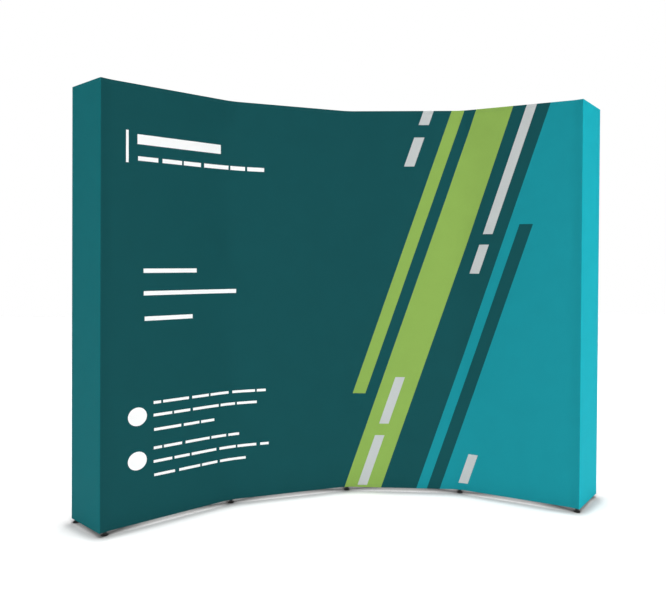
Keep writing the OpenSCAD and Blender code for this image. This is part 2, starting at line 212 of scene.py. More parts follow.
def studio_floor():
    """A square floor at height 0: white paint, and a little of its own light where the camera looks.
    Near the wall both are darkened as painted shade.
    """
    corners = FLOOR_SIZE / 2 * np.array([(-1, -1, 0), (1, -1, 0), (1, 1, 0), (-1, 1, 0)])
    mesh = bpy.data.meshes.new("studio_floor")
    mesh.from_pydata(corners.tolist(), [], [(0, 1, 2, 3)])
    floor = bpy.data.objects.new("studio_floor", mesh)
    bpy.context.scene.collection.objects.link(floor)
    material, tree, shader = new_finish("studio_floor", FLOOR_PAINT, roughness=0.9, specular=0.1)
    # painted shade: the paint falls towards black, and the glow towards none, where the occlusion nodes find
    # something near
    openness = maths(tree, "MULTIPLY", open_towards(tree, *SHADE_BEFORE), open_towards(tree, *SHADE_BEHIND))
    glow = maths(tree, "MULTIPLY", openness, FLOOR_GLOW)
    tree.links.new(lay(tree, BLACK, FLOOR_PAINT, openness), shader.inputs["Base Color"])
    shader.inputs["Emission Color"].default_value = WHITE
    tree.links.new(maths(tree, "MULTIPLY", glow, seen_directly(tree)), shader.inputs["Emission Strength"])
    mesh.materials.append(material)


def white_air():
    """The world: white where it is seen, and an even pale light everywhere else."""
    world = bpy.data.worlds.new("white_air")
    world.use_nodes = True
    bpy.context.scene.world = world
    tree = world.node_tree
    strength = maths(tree, "MULTIPLY_ADD", seen_directly(tree), 1 - AIR_LIGHT, AIR_LIGHT)
    tree.links.new(strength, tree.nodes["Background"].inputs["Strength"])
    tree.nodes["Background"].inputs["Color"].default_value = WHITE


studio_floor()
white_air()
bpy.context.scene.view_settings.view_transform = "Standard"
print("floor:", FLOOR_SIZE, "m square")

# %% [markdown]
# ## Lamps
# Small lamps throw hard shadows and shiny spots. Broad ones wrap round the object, as the big
# soft boxes of a product studio do. One hangs before the wall on the left, a weaker one on the
# right, and one behind it, so that the frame can be read from the back as well. The fourth is
# the overhead lamp of the shadow. It is a sun lamp, which shines the same way everywhere, so the
# shadow follows the whole curve.

# %% Lamps
SOFTBOXES = {  # place, width in metres, power in watts
    "left_softbox": ((-3.4, -6.0, 2.0), 3.0, 142),
    "right_softbox": ((3.8, -5.6, 2.0), 3.0, 123),
    "back_softbox": ((0.8, 6.0, 2.4), 3.0, 120),
}
OVERHEAD_LIGHT = 2.9
OVERHEAD_WIDTH = np.radians(3.0)
OVERHEAD_TILT = np.radians(-0.6)  # shines a little towards the viewer, and so does the shadow


def add_lamp(name, kind, energy, turn, place=(0, 0, 5)):
    """A lamp that shines along its own -Z, turned and placed."""
    lamp = bpy.data.objects.new(name, bpy.data.lights.new(name, kind))
    bpy.context.scene.collection.objects.link(lamp)
    lamp.data.energy = energy
    lamp.rotation_euler = turn
    lamp.location = place
    return lamp.data


middle = (cad_low + cad_high) / 2
for lamp_name, (place, width, watts) in SOFTBOXES.items():
    facing = (Vector(place) - middle).to_track_quat("Z", "Y").to_euler()
    add_lamp(lamp_name, "AREA", watts, facing, place).size = width
add_lamp("overhead_lamp", "SUN", OVERHEAD_LIGHT, (OVERHEAD_TILT, 0, 0)).angle = OVERHEAD_WIDTH
print("lamps:", len(SOFTBOXES) + 1)

# %% [markdown]
# ## The line of the cloth, seen from above
# On the real wall the cloth touches the flat face of each hub and runs straight to the next, so
# its plan is a chain of straight pieces that turn twice at every column. Its corners could be
# typed in as numbers, but then the cloth would miss the hubs after any change to the frame. So
# they are read from the frame's own cloth solid, and the front one of each pair is kept.

# %% Corners of the plan
LEFT, RIGHT = -1, 1  # as the viewer sees the wall


def plan_corners(node):
    """The different (x, y) places of a hard part's corners, to a hundredth of a millimetre."""
    mesh = frame["nodes"][node].data
    places = np.empty(len(mesh.vertices) * 3, np.float32)
    mesh.vertices.foreach_get("co", places)
    return np.unique(places.reshape(-1, 3)[:, :2].astype(float).round(5), axis=0)


def front_corners():
    """Sorted by x, the corners come in pairs, one on each side of the cloth. The smaller y is in front."""
    pairs = plan_corners("front_panel").reshape(-1, 2, 2)
    return pairs[np.arange(len(pairs)), pairs[:, :, 1].argmin(axis=1)]


def flap_ends(node, side):
    """The flap's outer line: the wall's corner and the free edge."""
    corners = plan_corners(node)
    in_front = corners[:, 1] < corners[:, 1].mean()
    near, far = corners[in_front], corners[~in_front]
    return near[(near[:, 0] * side).argmax()], far[(far[:, 0] * side).argmax()]


flap_lines = {LEFT: flap_ends("left_flap", LEFT), RIGHT: flap_ends("right_flap", RIGHT)}
chain = np.vstack([flap_lines[LEFT][0], front_corners()[1:-1], flap_lines[RIGHT][0]])
steps = np.diff(chain, axis=0)
lengths = np.hypot(steps[:, 0], steps[:, 1])
headings = steps / lengths[:, None]
creases = np.cumsum(lengths)[:-1]
PANEL_LENGTH = lengths.sum()
CLOTH_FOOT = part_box("front_panel")[0].z
CLOTH_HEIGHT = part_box("front_panel")[1].z - CLOTH_FOOT
print("cloth: %.3f m round the curve, %.3f m high, %d creases" % (PANEL_LENGTH, CLOTH_HEIGHT, len(creases)))

# %% [markdown]
# ## Stretched cloth is never quite a fold
# A sheet of card would turn sharply at each crease from top to bottom. Cloth does so only where
# a hub holds it. Between the rows of hubs it is pulled tight across the hollow of the curve, so
# it leaves the columns and rounds the corner. A cloth simulation could find this shape, but for
# a taut sheet one formula does: every crease is a ramp that is rounded over a softness, and the
# softness grows from the hub rows to the middle of each storey. At the two ends the cloth is also
# held by the fold round the corner, so the outermost creases stay fairly crisp.

# %% The surface of the panel
HUB_ROWS = 4
SOFT_AT_HUB = 0.012  # metres that a crease reaches to both sides
SOFT_BETWEEN = 0.150
SOFT_AT_ENDS = 0.040
CORNER_ROUND = 0.006  # radius of the cloth's fold at the wall's two front corners

hub_low, hub_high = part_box("front_hubs_column3")
hub_size = hub_high.x - hub_low.x
first_row = hub_low.z + hub_size / 2
last_row = hub_high.z - hub_size / 2
row_pitch = (last_row - first_row) / (HUB_ROWS - 1)


def softness(height):
    """How far a crease reaches to both sides: little at the hub rows, more by a sine squared between."""
    most = np.full(len(creases), SOFT_BETWEEN)
    most[[0, -1]] = SOFT_AT_ENDS
    storeys = np.clip((height - first_row) / row_pitch, 0, HUB_ROWS - 1)
    return SOFT_AT_HUB + (most - SOFT_AT_HUB) * np.sin(np.pi * storeys[..., None]) ** 2


def panel_line(along, height):
    """Plan place and heading of the cloth. Each crease adds its change of heading times a rounded ramp:
    0 before -s, (x + s)^2 / 4s from -s to s, and x after s, where x is the distance past the crease."""
    soft = softness(height)
    past = along[..., None] - creases
    share = np.clip((past / soft + 1) / 2, 0, 1)
    ramp = soft * share**2 + np.maximum(past - soft, 0)
    turns = np.diff(headings, axis=0)
    place = chain[0] + along[..., None] * headings[0] + ramp @ turns
    heading = headings[0] + share @ turns
    return place, heading / np.linalg.norm(heading, axis=-1, keepdims=True)


print("hub rows from %.3f m, %.3f m apart" % (first_row, row_pitch))

# %% [markdown]
# ## From a surface to a sheet with two faces
# Cloth has a thickness, and its edges are folded over and sewn down. A Solidify modifier would
# thicken a single sheet evenly, but a hem is twice as thick as the rest. So the sheet is built as
# a closed shell: a grid of points on the front, the same grid set back behind it, and a rim round
# both. The set-back is a number for plain cloth and an array where a hem makes it thicker. The
# points carry two more numbers, how far they are along the cloth and up it, in metres. They
# become the UV map, so the print and the knit follow the cloth and not the room.

# %% Faces of a shell
SHARP_EDGE = np.radians(50)  # faces that meet more steeply are not shaded as one


def grid_faces(rows, columns, first=0):
    """Quads between neighbouring points of a grid stored row by row."""
    corner = first + np.arange(rows - 1)[:, None] * columns + np.arange(columns - 1)
    return np.stack([corner, corner + 1, corner + columns + 1, corner + columns], axis=-1).reshape(-1, 4)


def rim_faces(rows, columns):
    """Quads that join the edge of the front grid to the edge of the back grid, walking round once."""
    index = np.arange(rows * columns).reshape(rows, columns)
    walk = np.concatenate([index[0, :-1], index[:-1, -1], index[-1, :0:-1], index[:0:-1, 0]])
    onward = np.roll(walk, -1)
    back = rows * columns
    return np.stack([onward, walk, walk + back, onward + back], axis=-1)


# %% Shell builder
def two_faces(line, span, rise, depths):
    """Points of the front grid and then of the back one, each set back from the line by its own depth."""
    place, heading = line(span, rise)
    outward = np.stack([heading[..., 1], -heading[..., 0]], axis=-1)
    layers = []
    for depth in depths:
        shifted = place - outward * np.broadcast_to(np.asarray(depth, float), span.shape)[..., None]
        layers.append(np.concatenate([shifted, rise[..., None]], axis=-1).reshape(-1, 3))
    return np.concatenate(layers)


def add_cloth_map(mesh, along, up):
    """The cloth's own UV map in metres, the same on both faces."""
    uv = np.tile(np.stack([along.ravel(), up.ravel()], axis=-1), (2, 1))
    corners = np.empty(len(mesh.loops), np.int32)
    mesh.loops.foreach_get("vertex_index", corners)
    mesh.uv_layers.new(name="cloth").data.foreach_set("uv", uv[corners].astype(np.float32).ravel())


def cloth_shell(name, line, along, heights, front, back, uv_along=None):
    """A closed sheet. line gives plan place and heading at (along, height), and the two faces lie front
    and back behind it. Rows run up and columns run along, so the front grid's quads face the viewer."""
    span, rise = np.meshgrid(along, heights)
    rows, columns = span.shape
    front_faces = grid_faces(rows, columns)
    back_faces = grid_faces(rows, columns, rows * columns)[:, ::-1]
    faces = np.concatenate([front_faces, back_faces, rim_faces(rows, columns)])
    mesh = bpy.data.meshes.new(name)
    mesh.from_pydata(two_faces(line, span, rise, (front, back)).tolist(), [], faces.tolist())
    add_cloth_map(mesh, span if uv_along is None else uv_along(span), rise - CLOTH_FOOT)
    behind = np.arange(len(faces)) >= len(front_faces)
    mesh.polygons.foreach_set("material_index", behind.astype(np.int32))
    mesh.polygons.foreach_set("use_smooth", np.ones(len(faces), bool))
    mesh.set_sharp_from_angle(angle=SHARP_EDGE)
    piece = bpy.data.objects.new(name, mesh)
    bpy.context.scene.collection.objects.link(piece)
    return piece


# %% [markdown]
# ## Hems
# The cloth's top and bottom edges are turned to the back over 20 mm and sewn. Seen from behind
# that is a band twice as thick, and its folded edge is round. The turned strip could be a piece of
# its own, but then a dark seam would show between the two. So both come from the set-back alone:
# a step that adds one more thickness inside the hem, and a quarter round at the very edge.

# %% Hem profile and sample points
CLOTH_THICK = 0.0008
HEM_DEPTH = 0.020
HEM_FALL = 0.002  # width of the step at the hem's inner side
EDGE_STEPS = np.array([0, 0.0002, 0.0005, 0.0009])  # points that a round edge needs, from the edge inwards
EDGE_CLOSED = 0.9  # share of the thickness that is rounded away at the very edge
FINE, COARSE = 0.004, 0.020  # spacing of points near a crease and elsewhere
CREASE_REACH = 0.040  # how far the fine ones go to both sides


def hem_step(from_edge):
    """1 in the hem, falling smoothly to 0 past its inner side."""
    fall = np.clip((from_edge - HEM_DEPTH) / HEM_FALL, 0, 1)
    return 1 - fall * fall * (3 - 2 * fall)


def edge_round(from_edge):
    """How far a face sinks near a folded edge: along a quarter circle of one cloth thickness."""
    nearness = np.clip(1 - from_edge / CLOTH_THICK, 0, 1)
    return EDGE_CLOSED * CLOTH_THICK * (1 - np.sqrt(1 - nearness**2))


def sample(low, high, special, reach):
    """Places from low to high, coarsely spaced, with fine ones within reach of each special place."""
    fine = np.concatenate([place + np.arange(-reach, reach + FINE / 2, FINE) for place in special])
    spread = np.linspace(low, high, int((high - low) / COARSE) + 1)
    kept = fine[(fine > low + FINE / 2) & (fine < high - FINE / 2)]
    both = np.unique(np.concatenate([spread, kept]).round(4))
    return both[np.append(True, np.diff(both) > FINE / 4)]


def hem_samples(low, high):
    """Heights that a hem needs: its round edge, its flat and the step at its inner side, at both ends."""
    flat = [HEM_DEPTH / 5, HEM_DEPTH / 2]
    step = [HEM_DEPTH, HEM_DEPTH + HEM_FALL / 2, HEM_DEPTH + HEM_FALL]
    into = np.concatenate([EDGE_STEPS, flat, step])
    return np.concatenate([low + into, high - into])


foot, head = CLOTH_FOOT, CLOTH_FOOT + CLOTH_HEIGHT
past_hem = HEM_DEPTH + COARSE / 2
middle_heights = np.linspace(foot + past_hem, head - past_hem, int(CLOTH_HEIGHT / COARSE))
cloth_heights = np.unique(np.concatenate([hem_samples(foot, head), middle_heights]))
panel_along = sample(CORNER_ROUND, PANEL_LENGTH - CORNER_ROUND, creases, CREASE_REACH)
from_hem = np.minimum(cloth_heights - foot, head - cloth_heights)[:, None]

panel = cloth_shell(
    "printed_panel",
    panel_line,
    panel_along,
    cloth_heights,
    front=edge_round(from_hem),
    back=CLOTH_THICK * (1 + hem_step(from_hem)) - edge_round(from_hem),
)
print("panel:", len(panel.data.polygons), "faces")

# %% [markdown]
# ## End flaps
# At each end the same cloth turns back over the side of the frame. The flap starts with a small
# quarter round at the corner, so the corner catches light as a fold does, and then runs flat to
# its free edge, which is cut straight and backed by tape instead of a hem. Each flap can be
# peeled open. A stiff flap on a hinge would leave a gap there, so two points are worked out for
# where the cloth would bend instead. The first lies half a radius from the corner, because cloth
# that turned any nearer to the hub would cut into the hub's face. Nothing here makes the flap bend.

# %% Flaps
ARC_LENGTH = CORNER_ROUND * np.pi / 2
ARC_POINTS, FLAT_POINTS = 9, 15


def flap_line(side):
    """The flap's plan over the length from the panel: a quarter circle at the corner, then straight."""
    corner, free = flap_lines[side]
    away = (free - corner) / np.linalg.norm(free - corner)
    wall = headings[0] if side == LEFT else -headings[-1]
    centre = corner + (wall + away) * CORNER_ROUND

    def line(along, height):
        turn = np.clip(along / CORNER_ROUND, 0, np.pi / 2)[..., None]
        past = np.maximum(along - ARC_LENGTH, 0)[..., None]
        place = centre - CORNER_ROUND * (away * np.cos(turn) + wall * np.sin(turn)) + away * past
        heading = -wall * np.cos(turn) + away * np.sin(turn)
        return place, heading * (1 if side == RIGHT else -1)

    return line, corner, wall, away


def flap_along(side):
    """Length along the flap in the panel's own measure: below 0 at the left, past its end at the right."""
    if side == LEFT:
        return lambda along: ARC_LENGTH / 2 - along
    return lambda along: PANEL_LENGTH - ARC_LENGTH / 2 + along


def make_flap(name, side):
    """One flap. Its grid runs to the right as seen from outside, so the left one is counted backwards."""
    line, corner, wall, away = flap_line(side)
    length = np.linalg.norm(flap_lines[side][1] - corner) - CORNER_ROUND + ARC_LENGTH
    arc = np.linspace(0, ARC_LENGTH, ARC_POINTS)
    flat = np.linspace(COARSE, length - COARSE / 2, FLAT_POINTS)
    along = np.concatenate([arc, flat, length - EDGE_STEPS[::-1]])[::side]
    from_edge = np.minimum(from_hem, (length - along)[None, :])
    flap = cloth_shell(
        name,
        line,
        along,
        cloth_heights,
        front=edge_round(from_edge),
        back=CLOTH_THICK * (1 + hem_step(from_hem)) - edge_round(from_edge),
        uv_along=flap_along(side),
    )
    bend = [(*(corner + wall * CORNER_ROUND / 2), foot), (*(corner + away * CORNER_ROUND), foot)]
    print(name + ":", round(length, 3), "m long,", len(flap.data.polygons), "faces")
    return flap, line, length, bend


left_flap, left_line, flap_length, left_bend = make_flap("left_end_flap", LEFT)
right_flap, right_line, _, right_bend = make_flap("right_end_flap", RIGHT)

# %% [markdown]
# ## Loop tape
# Hook pads on the hubs grip a soft looped tape that is sewn to the back of the cloth. A band of
# it runs along the top and the bottom, where the outer rows of hubs are, a square patch meets
# every hub between, and each flap has two upright bands for the pads on the hubs' sides. Painted
# on, the tape would have no edge, so each is the same kind of shell as the cloth, set one
# thickness deeper, and it climbs over the hems as sewn tape does.

# %% Bands and patches of loop tape
TAPE_THICK = 0.0007
TAPE_WIDE = 0.050
TAPE_INSET = 0.004  # from the cloth's edge
CORNER_GAP = 0.012  # from the panel's two corners
ROUND_GAP = 0.001  # from the round of a corner to a flap's first band
TAPE_REACH = 0.048  # how far a crease's fine points go to both sides
PATCH = 0.070  # side of a square patch
BAND_POINTS, PATCH_POINTS = 7, 9  # across a band, and each way on a patch
HAIR = 0.00001  # for numbers that should be equal
inner_columns = (creases[1:-1:2] + creases[2::2]) / 2
columns_along = np.concatenate([[lengths[0] / 2], inner_columns, [PANEL_LENGTH - lengths[-1] / 2]])


def tape(name, line, along, heights, uv_along=None):
    """A strip of tape on the back of the cloth, at those places along it and up it."""
    behind = CLOTH_THICK * (1 + hem_step(np.minimum(heights - foot, head - heights)))[:, None]
    return cloth_shell(name, line, along, heights, front=behind, back=behind + TAPE_THICK, uv_along=uv_along)


def inside(places, low, high):
    """The places from low to high, with a hair's width to spare."""
    return places[(places > low - HAIR) & (places < high + HAIR)]


# %% Tapes of the panel
band_along = sample(CORNER_GAP, PANEL_LENGTH - CORNER_GAP, creases, TAPE_REACH)
taped_heights = inside(cloth_heights, foot + TAPE_INSET, head - TAPE_INSET)
bottom_band = np.append(inside(taped_heights, foot, foot + TAPE_WIDE), foot + TAPE_INSET + TAPE_WIDE)
panel_tapes = [
    tape("loop_band_bottom", panel_line, band_along, bottom_band),
    tape("loop_band_top", panel_line, band_along, (foot + head - bottom_band)[::-1]),
]
for row in range(1, HUB_ROWS - 1):
    for number, centre in enumerate(columns_along, start=1):
        low, high = max(centre - PATCH / 2, CORNER_GAP), min(centre + PATCH / 2, PANEL_LENGTH - CORNER_GAP)
        near = inside(creases, low, high)
        along = sample(low, high, near, TAPE_REACH) if len(near) else np.linspace(low, high, PATCH_POINTS)
        heights = first_row + row * row_pitch + np.linspace(-PATCH / 2, PATCH / 2, PATCH_POINTS)
        panel_tapes.append(tape("loop_patch_column%d_row%d" % (number, row + 1), panel_line, along, heights))
print("tapes on the panel:", len(panel_tapes))

# %% Tapes of the flaps
band_starts = {"front": ARC_LENGTH + ROUND_GAP, "rear": flap_length - TAPE_INSET - TAPE_WIDE}


def flap_tapes(name, line, side):
    """Two upright bands on a flap, one for the front hubs' side pads and one for the rear hubs'."""
    bands = []
    for place, start in band_starts.items():
        along = np.linspace(start, start + TAPE_WIDE, BAND_POINTS)[::side]
        bands.append(tape("%s_loop_band_%s" % (name, place), line, along, taped_heights, flap_along(side)))
    return bands


side_tapes = {LEFT: flap_tapes("left", left_line, LEFT), RIGHT: flap_tapes("right", right_line, RIGHT)}
print("tapes on the flaps:", sum(len(bands) for bands in side_tapes.values()))

# %% [markdown]
# ## Stitches
# A hem is held by two lines of stitches, 4 mm apart, and a band of tape by one line near each of
# its edges. Painted dots would vanish from the side, so each stitch is a tiny spindle of thread
# that stands proud of the cloth. There are thousands of them, so a spindle has only eight faces,
# and all of them are placed in one array operation.

# %% One stitch, many times
STITCH_PITCH = 0.0040
STITCH_LENGTH = 0.0032
THREAD = 0.0005  # thickness of the sewing thread
# the corners of a stitch of length and thickness 1: its two tips and four round its middle
SPINDLE = np.array([(-1, 0, 0), (0, -1, 0), (0, 0, 1), (0, 1, 0), (0, 0, -1), (1, 0, 0)]) / 2
SPINDLE_FACES = np.array(
    [(0, 2, 1), (0, 3, 2), (0, 4, 3), (0, 1, 4), (5, 1, 2), (5, 2, 3), (5, 3, 4), (5, 4, 1)]
)


def stitch_rows(line, spans, behind, upright=False):
    """Corner points of every stitch. spans are (along, height) arrays of stitch centres. A stitch lies
    along the cloth, or up it when upright, and its middle is that far behind the front face."""
    along, height = spans
    place, heading = line(along, height)
    outward = np.stack([heading[:, 1], -heading[:, 0]], axis=-1)
    flat = np.zeros((len(along), 1))
    sideways = np.concatenate([heading, flat], axis=1)
    lift = np.concatenate([outward, flat], axis=1)
    up = np.broadcast_to([0.0, 0.0, 1.0], sideways.shape)
    run, across = (up, sideways) if upright else (sideways, up)
    centre = np.concatenate([place - outward * behind, height[:, None]], axis=1)
    size = np.array([STITCH_LENGTH, THREAD, THREAD])
    axes = np.stack([run, across, lift], axis=1)
    return centre[:, None, :] + (SPINDLE * size) @ axes


def stitched_line(low, high):
    """Centres of the stitches that fit between two ends."""
    count = int((high - low) / STITCH_PITCH)
    return low + (np.arange(count) + 0.5) * (high - low) / count


def stitch_piece(name, points):
    """One mesh of all the stitches in points, which is (stitches, 6, 3)."""
    faces = (SPINDLE_FACES[None] + 6 * np.arange(len(points))[:, None, None]).reshape(-1, 3)
    mesh = bpy.data.meshes.new(name)
    mesh.from_pydata(points.reshape(-1, 3).tolist(), [], faces.tolist())
    mesh.polygons.foreach_set("use_smooth", np.ones(len(mesh.polygons), bool))
    piece = bpy.data.objects.new(name, mesh)
    bpy.context.scene.collection.objects.link(piece)
    return piece


# %% Lines of stitches
NEEDLE_INSET = 0.003  # from the edge of a tape
HEM_LINES = (0.014, 0.018)  # distances of a hem's two needle lines from the cloth's edge
TAPE_LINES = (NEEDLE_INSET, TAPE_WIDE - NEEDLE_INSET)


def level_stitches(line, low, high, needles):
    """Lines along the top and the bottom. A needle is (distance from the edge, depth behind the front)."""
    along = stitched_line(low, high)
    rows = []
    for inset, behind in needles:
        for height in (foot + inset, head - inset):
            rows.append(stitch_rows(line, (along, np.full(len(along), height)), behind))
    return np.concatenate(rows)


def upright_stitches(line):
    """A line near each edge of both bands of a flap, on the cloth's face and on the tape's."""
    height = stitched_line(foot + HEM_DEPTH + STITCH_PITCH, head - HEM_DEPTH - STITCH_PITCH)
    rows = []
    for start in band_starts.values():
        for inset in TAPE_LINES:
            along = np.full(len(height), start + inset)
            for behind in (0.0, CLOTH_THICK + TAPE_THICK):
                rows.append(stitch_rows(line, (along, height), behind, upright=True))
    return np.concatenate(rows)


hem_front = [(inset, 0.0) for inset in HEM_LINES]
hem_back = [(inset, 2 * CLOTH_THICK) for inset in HEM_LINES]
tape_places = TAPE_INSET + np.array(TAPE_LINES)
tape_back = [(place, CLOTH_THICK * (1 + hem_step(place)) + TAPE_THICK) for place in tape_places]
points = level_stitches(panel_line, 2 * CORNER_GAP, PANEL_LENGTH - 2 * CORNER_GAP, hem_front + tape_back)
panel_stitches = stitch_piece("panel_hem_stitches", points)
flap_stitches = {}
for side, line, name in ((LEFT, left_line, "left"), (RIGHT, right_line, "right")):
    points = level_stitches(line, CORNER_GAP, flap_length - TAPE_INSET, hem_front)
    between = band_starts["front"] + TAPE_WIDE, band_starts["rear"]
    points = np.concatenate([points, level_stitches(line, *between, hem_back), upright_stitches(line)])
    flap_stitches[side] = stitch_piece(name + "_flap_stitches", points)
print("stitches:", sum(len(p.data.vertices) // 6 for p in (panel_stitches, *flap_stitches.values())))

# %% [markdown]
# ## The print
# The design is plain stripes that lean to the right, laid over two fields of teal. A picture of
# it would blur close up, but straight stripes are simple sums. Each is an upright bar after the
# cloth has been sheared, so one number, along minus lean times height, sorts all of them. A bar
# is then two windows multiplied: one in that number and one in height. White dashes and dots
# stand where a buyer would put a message of their own. The inks are written a shade deeper than
# they look, because the dull shine of knit adds some white.

# %% Colours and layout of the print
DARK_TEAL = paint(15, 77, 81)
TEAL = paint(21, 143, 155)
LEAF_GREEN = paint(141, 176, 84)
PALE_GREY = paint(196, 200, 200)
# painted light: the flaps get the panel's dark teal and teal made lighter, for the side light they catch
LEFT_FLAP_LIT_TEAL = paint(8, 103, 109)
RIGHT_FLAP_LIT_CYAN = paint(18, 185, 201)
LEAN = 0.343  # metres to the right for each metre up
TOP = CLOTH_HEIGHT
TEAL_FIELD = 1.777  # where the teal begins, measured at the foot of the cloth
BARS = {  # left and right side at the foot of the cloth, then lower and upper end
    "green": [(1.205, 1.280, 0.558, TOP), (1.351, 1.568, 0, TOP)],
    "grey": [
        (1.040, 1.100, 2.143, TOP),
        (1.040, 1.100, 1.900, 2.070),
        (1.645, 1.702, 1.502, TOP),
        (1.645, 1.702, 1.273, 1.441),
        (1.424, 1.480, 0.380, 0.657),
        (1.424, 1.480, 0.013, 0.311),
        (2.011, 2.067, 0.041, 0.216),
    ],
    "dark": [(1.839, 1.915, 0, 1.556)],
}
UPRIGHT_MARK = (0.124, 0.137, 1.828, 1.990)  # its sides and ends, in the same order
WHITE_BARS = [  # level ones: left and right end, height of the middle, thickness
    (0.180, 0.627, 1.950, 0.050),
    (0.212, 0.493, 1.285, 0.022),
    (0.213, 0.717, 1.170, 0.022),
    (0.218, 0.471, 1.040, 0.022),
]
DASHED_BARS = [
    (0.183, 0.871, 1.853, 0.022),
    (0.265, 0.886, 0.605, 0.014),
    (0.265, 0.836, 0.540, 0.014),
    (0.268, 0.596, 0.465, 0.014),
    (0.266, 0.737, 0.370, 0.014),
    (0.266, 0.904, 0.300, 0.014),
    (0.269, 0.779, 0.230, 0.014),
]
LINE_PITCH, LINE_START = 0.075, -0.035  # level bands that hold one dashed bar each
DASH_PITCH = 0.125  # mean spacing of the dashes
DASH_SWING, SWING_LENGTH = 0.15, 0.29  # a slow wave stretches and squeezes the spacing
SWING_SHIFT, DASH_SHIFT = 2.4, 0.31  # how wave and spacing move on from bar to bar
GAP_SHARE = 0.11  # of the spacing
DOTS = [(0.184, 0.544), (0.184, 0.319)]  # places of their centres
DOT_RADIUS = 0.047
print("print:", sum(map(len, BARS.values())), "stripes,", len(WHITE_BARS + DASHED_BARS), "white bars")

# %% [markdown]
# Windows are cheap with one trick: the Compare operation gives 1 where a value lies within a
# margin of a middle. Several windows of one colour are joined with Maximum, so the order in
# which colours are laid on is the only order that matters. Some white bars are broken into short
# dashes: a number counts up along the bar, and wherever its fraction is small there is a gap. A
# slow wave added to that number stretches some dashes and squeezes others.


# %% Print helpers
def window(tree, value, low, high):
    """1 where value is between low and high, else 0."""
    return maths(tree, "COMPARE", value, (low + high) / 2, (high - low) / 2)


def bars_mask(tree, across, height, bars):
    """1 inside any of the bars. across is the place along the cloth, sheared first for leaning bars."""
    mask = None
    for left, right, bottom, top in bars:
        bar = maths(tree, "MULTIPLY", window(tree, across, left, right), window(tree, height, bottom, top))
        mask = bar if mask is None else maths(tree, "MAXIMUM", mask, bar)
    return mask


def level_bars(lines):
    """Left, right, bottom and top of level lines that are given by their middle and thickness."""
    return [(left, right, middle - thick / 2, middle + thick / 2) for left, right, middle, thick in lines]


def outside_gaps(tree, along, height):
    """0 in the gaps between dashes, else 1. line counts the level bands from the foot up. A gap is where
    along / pitch + swing * sin(2 pi along / length + shift * line) + shift * line has a small fraction."""
    above = maths(tree, "SUBTRACT", height, LINE_START)
    line = maths(tree, "FLOOR", maths(tree, "DIVIDE", above, LINE_PITCH))
    turn = maths(tree, "MULTIPLY", along, 2 * np.pi / SWING_LENGTH)
    wave = maths(tree, "SINE", maths(tree, "MULTIPLY_ADD", line, SWING_SHIFT, turn))
    swing = maths(tree, "MULTIPLY", wave, DASH_SWING)
    count = maths(tree, "MULTIPLY_ADD", line, DASH_SHIFT, maths(tree, "DIVIDE", along, DASH_PITCH))
    return maths(tree, "GREATER_THAN", maths(tree, "FRACT", maths(tree, "ADD", count, swing)), GAP_SHARE)


def marks_mask(tree, along, height):
    """1 inside the upright mark, the white bars, the dashes and the dots."""
    whole = bars_mask(tree, along, height, level_bars(DASHED_BARS))
    dashes = maths(tree, "MULTIPLY", whole, outside_gaps(tree, along, height))
    solid = bars_mask(tree, along, height, [UPRIGHT_MARK, *level_bars(WHITE_BARS)])
    mask = maths(tree, "MAXIMUM", dashes, solid)
    for centre, middle in DOTS:
        aside, above = maths(tree, "SUBTRACT", along, centre), maths(tree, "SUBTRACT", height, middle)
        squares = maths(tree, "ADD", maths(tree, "POWER", aside, 2), maths(tree, "POWER", above, 2))
        mask = maths(tree, "MAXIMUM", mask, maths(tree, "LESS_THAN", squares, DOT_RADIUS**2))
    return mask


# %% [markdown]
# ## The finish of the cloth
# Display cloth is a fine polyester knit: rows of loops about a millimetre wide, dull, with dye
# that lies in it and not on it. Modelled loops would need hundreds of millions of faces, so a
# bump stands in for them. Each loop is a small V, so the rows of loops are a sine wave up the
# cloth whose phase runs up and down in a zigzag along it. It is too fine to see from across a
# room, but it breaks the shine as the real one does. The dye gets a faint unevenness. The back of
# the sheet is bare white knit, on which the print shows through as a pale ghost.

# %% Knit material
WALE, COURSE = 0.0012, 0.0009  # width of a loop and height of a row of loops
LOOP_RISE = 0.0006  # how far the arms of a V climb
KNIT_DEPTH, KNIT_STRENGTH = 0.00018, 0.6
CLOUDS = 9.0  # clouds of dye in a metre
# the change over a loop is painted shade between the loops and painted light on them
CLOUDY, LOOP_SHADE = 0.05, 0.09  # how much the colour changes over a cloud, and over a loop
BARE_KNIT = paint(214, 219, 219)
SHOW_THROUGH = 0.16  # share of the print that is seen from behind


def cloth_coordinates(tree):
    """The two numbers of the cloth's own map: metres along it and metres up it."""
    spot = add_node(tree, "UVMap", uv_map="cloth").outputs["UV"]
    split = add_node(tree, "SeparateXYZ", {"Vector": spot})
    return spot, split.outputs["X"], split.outputs["Y"]


def knit_loops(tree, along, height):
    """From 0 in the gaps to 1 on the loops: a sine up the cloth, with its phase moved by a zigzag along
    it, plus a sine along it with one wave to a zigzag. The sum of two sines, -2 to 2, becomes 0 to 1."""
    zigzag = maths(tree, "MULTIPLY", maths(tree, "PINGPONG", along, WALE / 2), LOOP_RISE / (WALE / 2))
    climbed = maths(tree, "ADD", height, zigzag)
    arms = maths(tree, "SINE", maths(tree, "MULTIPLY", climbed, 2 * np.pi / COURSE))
    wales = maths(tree, "SINE", maths(tree, "MULTIPLY", along, 2 * np.pi / WALE))
    return maths(tree, "MULTIPLY_ADD", maths(tree, "ADD", wales, arms), 1 / 4, 1 / 2)


def about_one(tree, pattern, share):
    """From 1 - share to 1 + share as the pattern runs from 0 to 1."""
    ends = {"To Min": 1 - share, "To Max": 1 + share}
    return add_node(tree, "MapRange", {"Value": pattern, **ends}).outputs["Result"]


